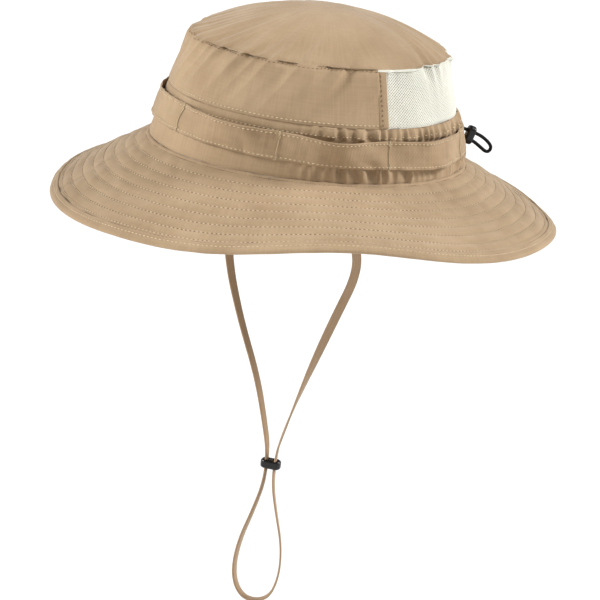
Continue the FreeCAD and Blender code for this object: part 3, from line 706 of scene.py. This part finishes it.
def side_seam_angle(z):
    """Angle of the side seam on the crown's oval at a height."""
    half_length, half_width = crown_half_axes(z)
    return math.atan2(half_length * math.sin(SIDE_SEAM), half_width * math.cos(SIDE_SEAM))


# ---- crown cloth
def wall_patch(start, end, low, high, out=0.0):
    """place(u, v) of a patch on the crown wall. start and end are functions of height."""
    def place(u, v):
        z = mix(low, high, v)
        return wall(mix(start(z), end(z), u), z, out)
    return place


def wall_cut(place, rows=20):
    """Flat width and height of a patch, measured along its middle."""
    return (share_length(lambda u: place(u, 0.5), 200),
            share_length(lambda v: place(0.5, v), rows))


def front_left(z):
    return -side_seam_angle(z)


def rear_end(z):
    return AROUND - side_seam_angle(z)


def panel_cloth(name, start, end, low, high, columns, rows, relief, material, node):
    place = wall_patch(start, end, low, high)
    cut = wall_cut(place)

    def lift(u, v):
        z = mix(low, high, v)
        return relief(mix(start(z), end(z), u), z)

    piece = cloth(name, columns, rows, place, cut, material, CLOTH, lift, (node,))


def make_crown():
    cut = (share_length(lambda share: wall(AROUND * share, PANEL_TOP), 240),
           share_length(lambda share: tip_point(0, share), 40))
    across = 2 * share_length(lambda share: tip_point(math.pi / 2, share), 40)
    reach = crown_half_axes(PANEL_TOP)[1]

    def tip_lift(u, v):
        calm = 1 - smooth(0.6, 0.95, v)
        return calm * shell_fold(AROUND * u, -reach * (1 - math.cos(math.pi / 2 * v)))

    def tip_place(u, v):
        """Near the seam a fold moves the cloth outwards, as in the panel below it."""
        angle = AROUND * u
        sideways = math.exp(-v / 0.3)
        way = wall_normal(angle, PANEL_TOP) * sideways + UP * (1 - sideways)
        return tip_point(angle, v) + way * tip_lift(u, v)

    tip = cloth("crown_tip_cloth", 420, 90, tip_place, cut, tan_cloth, CLOTH, None,
                ("crown_tip",))

    panel_cloth("crown_side_cloth", front_left, side_seam_angle, STRIP_TOP, PANEL_TOP - 0.2 * MM,
                360, 46, panel_relief, tan_cloth, "crown_side_front")
    panel_cloth("base_strip_cloth_front", front_left, side_seam_angle, -0.3 * MM, STRIP_TOP,
                420, 40, strip_relief, tan_cloth, "base_strip_front")
    panel_cloth("base_strip_cloth_rear", side_seam_angle, rear_end, -0.3 * MM, STRIP_TOP,
                300, 40, strip_relief, tan_cloth, "base_strip_rear")


NET_COLUMNS = 216
NET_ROWS = 40
NET_HOLE = 0.5 * MM
NET_DRIFT_HEIGHT, NET_DRIFT_WAVE = 0.9 * MM, 30 * MM
STRIP_SEAM_DEPTH = 0.8 * MM


def net_relief(angle, z):
    drift = ring_noise(angle, NET_DRIFT_WAVE, 7.3, z * 16) * NET_DRIFT_HEIGHT
    near_tip = math.exp(-(PANEL_TOP - z) / FOLD_REACH * 3)
    return mix(drift, shell_fold(angle, 0), near_tip) - STRIP_SEAM_DEPTH * seam_pinch(z, STRIP_TOP)


def make_net():
    """Open mesh behind: a fine grid with holes on the diagonal."""
    place = wall_patch(side_seam_angle, rear_end, STRIP_TOP, PANEL_TOP - 0.2 * MM)
    cut = wall_cut(place)

    def lift(u, v):
        z = mix(STRIP_TOP, PANEL_TOP, v)
        start = side_seam_angle(z)
        return net_relief(mix(start, AROUND - start, u), z)

    bm = cloth_bmesh(NET_COLUMNS, NET_ROWS, place, cut, lift)
    uv_layer = bm.loops.layers.uv["Cloth"]
    corners = []
    for vertex in bm.verts:
        if vertex.is_boundary:
            continue
        u, v = vertex.link_loops[0][uv_layer].uv
        if (round(u / cut[0] * NET_COLUMNS) + round(v / cut[1] * NET_ROWS)) % 2 == 0:
            corners.append(vertex)
    holes = bmesh.ops.bevel(bm, geom=corners, offset=NET_HOLE, segments=1, affect="VERTICES",
                            offset_type="OFFSET")
    bmesh.ops.delete(bm, geom=holes["faces"], context="FACES")
    net = add_piece("mesh_panel", bm, cream_net, replaces=("crown_side_mesh",))
    thicken(net, CLOTH)


def ring_strip(name, place, columns, rows, material, thickness, flat, node, lift=None):
    piece = cloth(name, columns, rows, place, flat, material, thickness, lift,
                  (node,) if node else ())
    return piece


EDGE_FOLD_WIDTH = 5.0 * MM
EDGE_FOLD_OUT = 0.5 * MM
PIPING_RADIUS = 0.55 * MM


def make_edge_folds():
    """Folded tan edge over each end of the mesh."""
    for name, side in SIDES:
        def place(u, v, side=side):
            z = mix(STRIP_TOP + 0.3 * MM, PANEL_TOP - 0.6 * MM, v)
            half_width = crown_half_axes(z)[1]
            back = (u - 0.2) * EDGE_FOLD_WIDTH / half_width
            angle = side * (side_seam_angle(z) + back)
            swell = EDGE_FOLD_OUT * smooth(0, 0.6, u if side > 0 else 1 - u)
            return wall(angle, z, swell + 0.45 * MM + net_relief(angle, z))
        flat = (EDGE_FOLD_WIDTH, PANEL_TOP - STRIP_TOP)
        cloth("panel_edge_" + name, 10, 40, place, flat, tan_cloth, CLOTH, None)


def make_piping():
    def line(angle):
        return wall(angle, PANEL_TOP - 0.9 * MM, 0.4 * MM + net_relief(angle, PANEL_TOP))
    start = side_seam_angle(PANEL_TOP)
    points = [line(mix(start, AROUND - start, index / 240)) for index in range(241)]
    bm = swept(points, circle(PIPING_RADIUS), lambda share: UP, 8)
    add_piece("mesh_piping", bm, cream_net)


make_crown()
make_net()
make_edge_folds()
make_piping()


# ---- band and its tacks
def band_angle(share):
    """Angle at a share of the way round, measured along the band."""
    place = share * len(BAND_ANGLES) - 0.5
    low = math.floor(place)
    first = BAND_ANGLES[low % len(BAND_ANGLES)]
    second = BAND_ANGLES[(low + 1) % len(BAND_ANGLES)]
    if second < first:
        second += AROUND
    return mix(first, second, place - low)


def band_standoff(share):
    """The band is tacked close in eight places, and stands off in a loop between."""
    angle = band_angle(share)
    bulge = mix(BAND_BULGE_ENDS, BAND_BULGE_SIDES, math.sin(angle) ** 2)
    return BAND_TACK_GAP + bulge * math.sin(math.pi * (share * BAND_TACKS - 0.5)) ** 2


def band_lean(angle):
    """Share of its standoff by which the band's top leans out: most along the sides."""
    start = smooth(BAND_LEAN_START, BAND_LEAN_START + 0.2, from_front(angle))
    end = 1 - smooth(BAND_LEAN_END - 0.2, BAND_LEAN_END, from_front(angle))
    return BAND_LEAN * start * end


def band_point(share, rise, out=0.0):
    angle = band_angle(share)
    out += band_standoff(share) * band_lean(angle) * 2 * rise / BAND_HEIGHT
    out += abs(ring_noise(angle + 9 * rise, 13 * MM, 3.7, rise * 60)) * BAND_CRUMPLE
    z = BAND_MIDDLE + BAND_TILT * math.cos(angle) + rise
    z += ring_noise(angle, 30 * MM, 9.1) * 0.35 * MM
    return wall(angle, z, band_standoff(share) + out)


BAND_SECTION = [(-0.5, 0.15), (-0.5, 1.25), (-0.42, 1.35), (-0.385, 1.1), (-0.36, 0.95), (-0.2, 1.0),
                (0.0, 1.05), (0.2, 1.0), (0.36, 0.95), (0.385, 1.1), (0.42, 1.35), (0.5, 1.25),
                (0.5, 0.15), (0.3, 0.1), (0.0, 0.05), (-0.3, 0.1)]


def closed_ring(name, columns, section, place, flat, material, node):
    """A ring whose closed section is a list of points; place(u, first, second)."""
    count = len(section)

    def spot(u, v):
        return place(u, *section[round(v * count) % count])

    bm = cloth_bmesh(columns, count, spot, flat)
    bmesh.ops.recalc_face_normals(bm, faces=bm.faces)
    piece = add_piece(name, bm, material, replaces=(node,))
    soften(piece)
    return piece


def make_band():
    length = share_length(lambda share: band_point(share, 0), 480)
    closed_ring("outer_band_cloth", 640, BAND_SECTION,
                lambda u, rise, out: band_point(u, rise * BAND_HEIGHT, out * BAND_CLOTH),
                (length, BAND_HEIGHT * 1.1), tan_band, "outer_band")


TACK_PATH = [(-1.4, -9.2), (1.2, -8.6), (-1.1, -7.4), (1.3, -6.2), (-0.2, -5.6), (-0.4, 0.0),
             (0.1, 5.4), (1.2, 6.0), (-1.2, 7.1), (1.1, 8.2), (-1.3, 9.0), (0.2, 9.6)]
THREAD_RADIUS = 0.24 * MM
SHARE_STEP = 0.001                # a short step along the band


def make_tacks():
    """A zig-zag of thick thread holds the band at each tack."""
    rows = bmesh.new()
    for number in range(BAND_TACKS):
        share = (number + 0.5) / BAND_TACKS
        length = line_length([band_point(share, 0), band_point(share + SHARE_STEP, 0)])
        points = []
        for across, rise in TACK_PATH:
            jitter = noise.noise(Vector((number * 3.7, rise, 0))) * 0.5
            place = band_point(share + (across + jitter) * MM / length * SHARE_STEP, rise * MM,
                               BAND_CLOTH * 1.25 + 0.25 * MM)
            points.append(tuple(place))
        thread = swept(smooth_path(points, 5), circle(THREAD_RADIUS),
                       lambda along: UP + Vector((0.1, 0.2, 0)), 6)
        merge(rows, thread)
    add_piece("band_tack_thread", rows, tack_thread, replaces=("band_tacks",))


make_band()
make_tacks()


# ---- brim
BRIM_INNER = -0.8 * MM              # the plies start a little inside the seam
BRIM_OUTER = BINDING_START + 0.9 * MM
STITCH_ROWS = [ROW_FIRST + ROW_STEP * number for number in range(ROW_COUNT)] + [ROW_LAST]


def brim_wave(angle, out):
    return ring_noise(angle, 42 * MM, 5.5, out * 14) * 0.9 * MM * out / BRIM_WIDTH


def brim_lies(angle, out, above=0.0):
    return brim(angle, out, above + brim_wave(angle, out))


def quilt(angle, out):
    """The cloth stands up a little between the rows of stitches."""
    edges = [-0.9 * MM] + STITCH_ROWS + [BINDING_START + 0.6 * MM]
    for low, high in zip(edges, edges[1:]):
        if low <= out <= high:
            share = (out - low) / (high - low)
            puff = QUILT_PUFF * (1 - abs(2 * share - 1) ** 2.5)
            pull = 0.7 + 0.5 * ring_noise(angle, 7 * MM, 2.9, high * 300)
            return puff * pull
    return 0.0


def out_at(inner, outer, v, side):
    """Distance out at a share across a ply, counted so that its face looks outwards."""
    return mix(outer, inner, v) if side > 0 else mix(inner, outer, v)


def brim_patch(inner, outer, above, side):
    return lambda u, v: brim_lies(AROUND * u, out_at(inner, outer, v, side), above)


def ring_area(place):
    """Area of a ring of cloth, from strips between its rows."""
    bm = bmesh.new()
    bmesh.ops.create_grid(bm, x_segments=120, y_segments=8, size=0.5)
    for vertex in bm.verts:
        vertex.co = place(vertex.co.x + 0.5, vertex.co.y + 0.5)
    area = sum(face.calc_area() for face in bm.faces)
    bm.free()
    return area


def make_brim():
    girth = share_length(lambda share: brim(AROUND * share, BRIM_WIDTH / 2), 240)
    inner, outer = BRIM_INNER, BRIM_OUTER
    for name, above, side, node in (("brim_cloth_top", 0, 1, "brim_top"),
                                    ("brim_cloth_under", -BRIM_DEPTH, -1, "brim_underside")):
        place = brim_patch(inner, outer, above, side)

        def lift(u, v, side=side):
            return quilt(AROUND * u, out_at(inner, outer, v, side))

        piece = cloth(name, 540, 60, place, (girth, outer - inner), tan_brim, BRIM_PLY, lift,
                      (node,))
        ring_area(place)
    place = brim_patch(inner + 1.5 * MM, outer, -BRIM_PLY - 0.1 * MM, 1)
    middle = cloth("brim_canvas", 240, 12, place, (girth, outer - inner), canvas, 1.2 * MM, None,
                   ("brim_interlining",))
    ring_area(place)


BINDING_FLAT_WIDTH = 18.5 * MM
BINDING_PUCKER = 0.22 * MM
BINDING_SECTION = [(67.6, -0.1), (67.5, 0.6), (68.2, 1.3), (69.4, 1.2), (70.7, 0.7), (72.3, 1.1),
                   (74.3, 0.5), (75.4, -0.9), (74.4, -2.6), (72.0, -3.05), (69.0, -2.9), (67.6, -2.9),
                   (67.4, -2.5), (73.6, -2.2), (74.0, -1.0), (73.6, 0.0)]


def binding_point(u, out, above):
    angle = AROUND * u
    pucker = ring_noise(angle, 5 * MM, 7.7, out * 60) * BINDING_PUCKER
    return brim_lies(angle, out * MM + 0.3 * pucker, above * MM + pucker)


def make_binding():
    girth = share_length(lambda share: brim(AROUND * share, BRIM_WIDTH), 240)
    closed_ring("brim_binding_tape", 720, BINDING_SECTION, binding_point, (girth, BINDING_FLAT_WIDTH),
                tan_cloth, "brim_binding")


make_brim()
make_binding()


# ---- inside of the crown
SWEATBAND_HEIGHT = 32 * MM
SWEATBAND_DEPTH = 4.65 * MM
SWEATBAND_FOOT = 2.6 * MM
SWEATBAND_KNEE = 8.3 * MM
TAPE_HEIGHT = 9.0 * MM             # seam tapes, which are declared a little wider
TAPE_DECLARED = 0.0101
TAPE_INSET = 2.2 * MM
TAPE_CLOTH = 0.4 * MM
SWEATBAND_CLOTH = 0.8 * MM
CHANNEL_START = math.pi / 2 + math.radians(2)
CHANNEL_FOOT = 9.5 * MM
CHANNEL_RISE = 15.0 * MM
CHANNEL_DEPTH = 3.6 * MM
LABEL_ANGLE = math.radians(150)
LABEL_WIDTH = 26 * MM
LABEL_HEIGHT = 14 * MM
LABEL_FOOT = 12 * MM


def inside_depth(z):
    return mix(SWEATBAND_FOOT, SWEATBAND_DEPTH, smooth(0, SWEATBAND_KNEE, z))


def make_lining():
    def sweat_place(u, v):
        angle = -AROUND * u
        z = SWEATBAND_HEIGHT * v
        ripple = ring_noise(angle, 24 * MM, 4.9, z) * 0.3 * MM
        return wall(angle, z, -inside_depth(z) - SWEATBAND_CLOTH + ripple)

    girth = share_length(lambda u: sweat_place(u, 0.5), 240)
    ring_strip("sweatband_lining", sweat_place, 420, 26, lining, SWEATBAND_CLOTH,
               (girth, SWEATBAND_HEIGHT), "sweatband")

    def tip_tape_place(u, v):
        angle = -AROUND * u
        z = PANEL_TOP - TAPE_HEIGHT * (1 - v) - 0.3 * MM
        inner_face = min(panel_relief(angle, z), net_relief(angle, z))
        return wall(angle, z, inner_face - TAPE_INSET)

    girth = share_length(lambda u: tip_tape_place(u, 0.5), 240)
    ring_strip("tip_seam_binding", tip_tape_place, 360, 8, binding_tape, TAPE_CLOTH,
               (girth, TAPE_DECLARED), "tip_seam_tape")

    for name, side in SIDES:
        def side_place(u, v, side=side):
            z = mix(STRIP_TOP, PANEL_TOP - TAPE_HEIGHT - 0.5 * MM, v)
            angle = side * side_seam_angle(z) - (u - 0.5) * TAPE_HEIGHT / crown_half_axes(z)[1]
            return wall(angle, z, -1.0 * MM)
        piece = cloth("side_seam_binding_" + name, 8, 24, side_place, (TAPE_HEIGHT, 25 * MM),
                      binding_tape, TAPE_CLOTH, None, ("side_seam_tape_" + name,))


def make_channel():
    """The tape that carries the drawcord round the rear, behind the base strip."""
    def place(u, v):
        angle = mix(AROUND - CHANNEL_START, CHANNEL_START, u)
        z = CHANNEL_FOOT + CHANNEL_RISE * v
        bulge = 1 - abs(2 * v - 1) ** 6
        return wall(angle, z, -0.55 * MM - CHANNEL_DEPTH * bulge)

    cut = wall_cut(place, 60)
    ring_strip("drawcord_casing", place, 300, 24, binding_tape, TAPE_CLOTH, cut, "drawcord_channel")


def make_label():
    flat = (LABEL_WIDTH, LABEL_HEIGHT)

    def place(u, v):
        angle = LABEL_ANGLE - (u - 0.5) * LABEL_WIDTH / SEAM_HALF_LENGTH
        z = LABEL_FOOT + LABEL_HEIGHT * v
        return wall(angle, z, -SWEATBAND_DEPTH - 1.7 * MM - 0.4 * MM * math.sin(math.pi * v) * u)

    piece = cloth("care_label_cloth", 20, 12, place, flat, label_satin, 0.3 * MM, None,
                  ("care_label",))


make_lining()
make_channel()
make_label()


# ---- stitches
def sew(name, rows, material):
    """Rows of stitches as one piece. Each row is point, normal, start, end and settings."""
    bm = bmesh.new()
    for point, normal, start, end, settings in rows:
        stitch_row(bm, point, normal, start, end, **settings)
    return add_piece(name, bm, material)


def on_wall(z, relief, out=0.0):
    return (lambda angle: wall(angle, z, out + relief(angle, z)),
            lambda angle: wall_normal(angle, z))


# Painted shade: dark grains between the stitches stand in for the shadow in the needle holes. A dark
# line just inside the binding stands in for the shadow in its groove.
GROOVE = 67.2 * MM
GROOVE_SHADE = {"length": 4.4 * MM, "width": 0.8 * MM, "lift": 0.15 * MM}
PIT_SHADE = {"length": 1.2 * MM, "width": 0.75 * MM, "lift": 0.12 * MM, "shift": 0.5}


def sew_brim():
    for name, above, side in (("top", 0, 1), ("under", -BRIM_DEPTH, -1)):
        rows = []
        for out in STITCH_ROWS:
            rows.append((lambda angle, out=out: brim_lies(angle, out, above),
                         lambda angle: brim_normal(angle) * side, 0, AROUND, {}))
        # The first row's dark thread is partly painted shade.
        sew("brim_first_row_" + name, rows[:1], brown_thread_and_shade)
        sew("brim_stitches_" + name, rows[1:], light_thread)
        # Painted shade in the needle holes and along the binding's groove, as dark grains.
        pit_shades = [(point, normal, start, end, PIT_SHADE) for point, normal, start, end, settings in rows]
        pit_shades.append((lambda angle: brim_lies(angle, GROOVE, above), rows[0][1], 0, AROUND, GROOVE_SHADE))
        sew("brim_stitch_pits_" + name, pit_shades, needle_shade)
    rows = [(lambda angle: brim_lies(angle, BINDING_ROW, 0.85 * MM), brim_normal, 0, AROUND, {}),
            (lambda angle: brim_lies(angle, BINDING_ROW, -3.0 * MM), lambda angle: -brim_normal(angle),
             0, AROUND, {})]
    sew("binding_stitches", rows, light_thread)


def sew_crown():
    seam = side_seam_angle(PANEL_TOP)
    rows = []
    for z, relief, start, end in (
            (PANEL_TOP - 1.5 * MM, panel_relief, -seam, seam),
            (STRIP_TOP + 2.0 * MM, panel_relief, -seam, seam),
            (STRIP_TOP - CASING_ROW, strip_relief, 0, AROUND)):
        point, normal = on_wall(z, relief, 0.05 * MM)
        rows.append((point, normal, start, end, {}))
    # The tip seam's dark thread is partly painted shade.
    sew("tip_seam_stitches", rows[:1], brown_thread_and_shade)
    sew("crown_stitches", rows[1:], light_thread)
    rows = []
    for side in (1, -1):
        def point(z, side=side):
            angle = side * (side_seam_angle(z) + 0.6 * MM / crown_half_axes(z)[1])
            return wall(angle, z, EDGE_FOLD_OUT + 0.4 * MM + net_relief(angle, z))
        rows.append((point, lambda z, side=side: wall_normal(side * side_seam_angle(z), z),
                     STRIP_TOP + 1 * MM, PANEL_TOP - 2 * MM, {}))
    # The panel edge's dark thread is partly painted shade.
    sew("panel_edge_stitches", rows, brown_thread_and_shade)


def sew_band():
    rows = []
    for rise in (-BAND_HEIGHT / 2 + 1.9 * MM, BAND_HEIGHT / 2 - 1.9 * MM):
        rows.append((lambda share, rise=rise: band_point(share, rise, BAND_CLOTH * 1.15),
                     lambda share: wall_normal(band_angle(share), BAND_MIDDLE), 0, 1, {}))
    sew("band_stitches", rows, light_thread)


def sew_lining():
    rows = []
    for z in (2 * MM, SWEATBAND_HEIGHT - 2 * MM):
        rows.append((lambda angle, z=z: wall(angle, z, -inside_depth(z) - 0.9 * MM),
                     lambda angle, z=z: -wall_normal(angle, z), 0, AROUND, {}))
    sew("sweatband_stitches", rows, light_thread)


sew_brim()
sew_crown()
sew_band()
sew_lining()


# ---- nodes kept as designed
def dress_nodes():
    finishes = {"chin_slider": black_bead, "drawcord_toggle": black_bead, "drawcord_left": black_core,
                "drawcord_right": black_core, "drawcord_end_tacks": light_thread}
    for name, material in finishes.items():
        data = bpy.data.objects[name].data
        data.materials.clear()
        data.materials.append(material)


black_core = thread_material("cord_core", srgb(14, 14, 15), srgb(38, 38, 40))
dress_nodes()


# ---- floor and light
FLOOR_HEIGHT = -0.75
FLOOR_REACH = 60
FLOOR_SHADE = (0.86, 0.86, 0.86, 1)
SKY_STRENGTH = 0.3
HORIZON_LOW = 0.16                # the pale walls of the studio, as heights of a view ray
HORIZON_HIGH = 0.3
LAMPS = (("right", (0.12, 0.76, 0.64), 3.2), ("left", (0.0, -0.9, 0.42), 2.6))
LAMP_SOFTNESS = math.radians(22)


def make_studio():
    material, tree, shader = start_material("floor_white", 0.9, 0.1)
    shader.inputs["Base Color"].default_value = FLOOR_SHADE
    bm = bmesh.new()
    bmesh.ops.create_grid(bm, x_segments=2, y_segments=2, size=FLOOR_REACH)
    mesh = bpy.data.meshes.new("floor")
    bm.to_mesh(mesh)
    bm.free()
    mesh.materials.append(material)
    floor = bpy.data.objects.new("floor", mesh)
    floor.location.z = FLOOR_HEIGHT
    bpy.context.scene.collection.objects.link(floor)

    world = bpy.data.worlds.new("studio")
    world.use_nodes = True
    background = world.node_tree.nodes["Background"]
    tree = world.node_tree
    way = add_node(tree, "ShaderNodeSeparateXYZ",
                   {0: add_node(tree, "ShaderNodeTexCoord").outputs["Generated"]})
    rise = add_node(tree, "ShaderNodeMapRange",
                    {"Value": way.outputs[2], "From Min": HORIZON_LOW, "From Max": HORIZON_HIGH,
                     "To Min": 1.0, "To Max": SKY_STRENGTH})
    background.inputs["Color"].default_value = (1, 1, 1, 1)
    tree.links.new(rise.outputs[0], background.inputs["Strength"])
    bpy.context.scene.world = world

    for name, direction, strength in LAMPS:
        data = bpy.data.lights.new("lamp_" + name, "SUN")
        data.energy = strength
        data.angle = LAMP_SOFTNESS
        lamp = bpy.data.objects.new("lamp_" + name, data)
        lamp.location = direction
        lamp.rotation_euler = Vector(direction).to_track_quat("Z", "Y").to_euler()
        bpy.context.scene.collection.objects.link(lamp)
    bpy.context.scene.view_settings.view_transform = "Standard"


make_studio()
